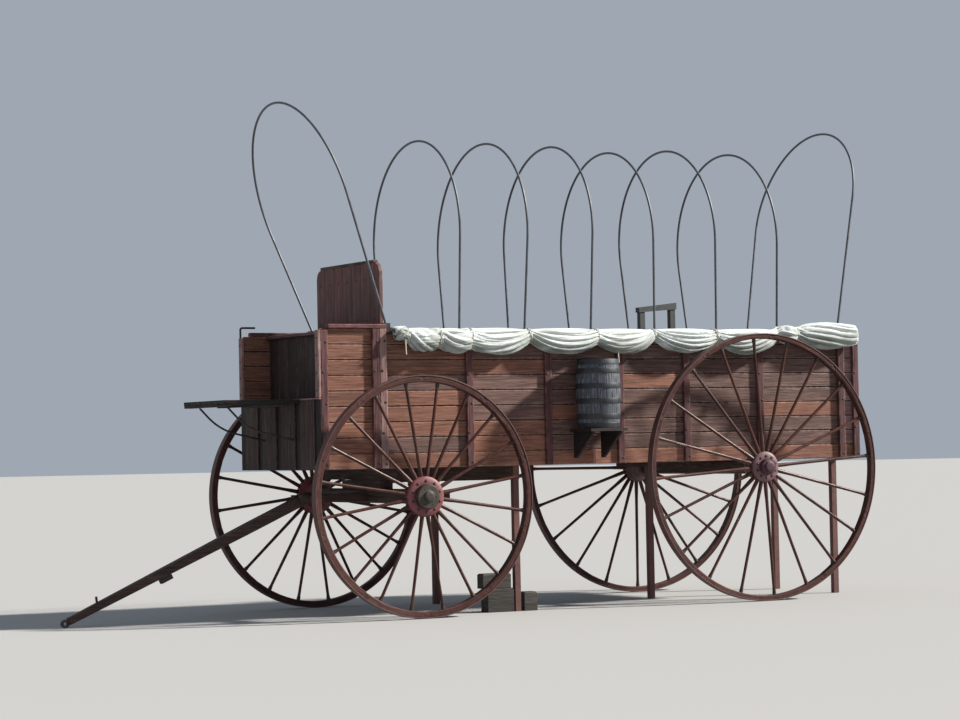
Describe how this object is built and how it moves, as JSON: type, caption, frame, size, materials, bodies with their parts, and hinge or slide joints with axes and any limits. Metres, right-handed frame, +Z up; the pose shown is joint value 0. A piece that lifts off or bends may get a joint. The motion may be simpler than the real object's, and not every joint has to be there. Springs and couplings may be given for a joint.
{
  "type": "covered wagon",
  "caption": "Giant wooden covered wagon on spoked wheels, with bare steel hoops, canvas rolled down along its sides, a driver's bench, a footboard and a drop tongue.",
  "frame": {"origin": "on the ground under the middle of the overall box, on the wagon's centre plane", "axes": "+X forward along the wagon to the tongue, +Y to the wagon's left, +Z up"},
  "size_m": [12.7944, 4.012, 7.2934],
  "materials": {
    "plank_red": "weathered red-brown stain, matte",
    "post_red": "dark red-brown stain, satin",
    "deck_wood": "weathered boards, matte",
    "panel_dark": "dark stained boards, matte",
    "seat_red": "red-brown paint, satin",
    "gear_dark": "dark brown oiled timber, matte",
    "wheel_red": "dark red-brown paint, satin",
    "hub_red": "maroon red paint, satin",
    "tyre_iron": "rusty dark iron, matte",
    "iron_dark": "black iron, matte",
    "hoop_grey": "dark grey paint, satin",
    "frame_grey": "grey paint, dull",
    "canvas_white": "white canvas, matte",
    "barrel_grey": "blue-grey weathered staves, matte",
    "leg_red": "red-brown primer, matte",
    "block_dark": "dark tarred timber, matte"
  },
  "bodies": {
    "wagon": {"barrel": "barrel_grey", "barrel_shelf": "gear_dark", "bed_floor": "deck_wood", "bed_frame": "frame_grey", "bow_sockets": "iron_dark", "bows": "hoop_grey", "bulkhead": "plank_red", "canvas_left": "canvas_white", "canvas_right": "canvas_white", "cross_beams": "gear_dark", "driver_floor": "deck_wood", "footboard": "gear_dark", "footboard_stays": "iron_dark", "front_panel": "panel_dark", "king_beam": "gear_dark", "left_posts": "post_red", "left_side": "plank_red", "post_blocks": "block_dark", "post_handle": "iron_dark", "rear_axle": "gear_dark", "rear_hounds": "gear_dark", "right_posts": "post_red", "right_side": "plank_red", "seat_back": "seat_red", "seat_board": "seat_red", "seat_riser": "panel_dark", "side_sills": "plank_red", "support_posts": "leg_red", "tailgate_hinges": "iron_dark", "top_rails": "post_red", "turning_bolster": "gear_dark"},
    "front_gear": {"front_axle": "gear_dark", "front_hounds": "gear_dark", "tongue_pin": "iron_dark"},
    "tongue": {"tongue": "gear_dark", "tongue_iron": "iron_dark"},
    "tailgate": {"tailgate": "plank_red", "tailgate_straps": "iron_dark"},
    "front_left_wheel": {"front_left_wheel_felloe": "wheel_red", "front_left_wheel_hub": "hub_red", "front_left_wheel_spokes": "wheel_red", "front_left_wheel_tyre": "tyre_iron"},
    "front_right_wheel": {"front_right_wheel_felloe": "wheel_red", "front_right_wheel_hub": "hub_red", "front_right_wheel_spokes": "wheel_red", "front_right_wheel_tyre": "tyre_iron"},
    "rear_left_wheel": {"rear_left_wheel_felloe": "wheel_red", "rear_left_wheel_hub": "hub_red", "rear_left_wheel_spokes": "wheel_red", "rear_left_wheel_tyre": "tyre_iron"},
    "rear_right_wheel": {"rear_right_wheel_felloe": "wheel_red", "rear_right_wheel_hub": "hub_red", "rear_right_wheel_spokes": "wheel_red", "rear_right_wheel_tyre": "tyre_iron"}
  },
  "joints": [
    {"name": "steering", "type": "hinge", "parent": "wagon", "child": "front_gear", "pos_m": [1.795, 0, 1.9], "axis": [0, 0, 1], "range_deg": [-10, 10]},
    {"name": "tongue_lift", "type": "hinge", "parent": "front_gear", "child": "tongue", "pos_m": [2.775, 0, 1.655], "axis": [0, -1, 0], "range_deg": [0, 40]},
    {"name": "tailgate_drop", "type": "hinge", "parent": "wagon", "child": "tailgate", "pos_m": [-5.863, 0, 2.297], "axis": [0, -1, 0], "range_deg": [0, 90]},
    {"name": "front_left_wheel_turn", "type": "hinge", "parent": "front_gear", "child": "front_left_wheel", "pos_m": [1.795, 1.815, 1.67], "axis": [0, 1, 0], "continuous": true},
    {"name": "front_right_wheel_turn", "type": "hinge", "parent": "front_gear", "child": "front_right_wheel", "pos_m": [1.795, -1.815, 1.67], "axis": [0, 1, 0], "continuous": true},
    {"name": "rear_left_wheel_turn", "type": "hinge", "parent": "wagon", "child": "rear_left_wheel", "pos_m": [-3.791, 1.815, 1.96], "axis": [0, 1, 0], "continuous": true},
    {"name": "rear_right_wheel_turn", "type": "hinge", "parent": "wagon", "child": "rear_right_wheel", "pos_m": [-3.791, -1.815, 1.96], "axis": [0, 1, 0], "continuous": true}
  ]
}
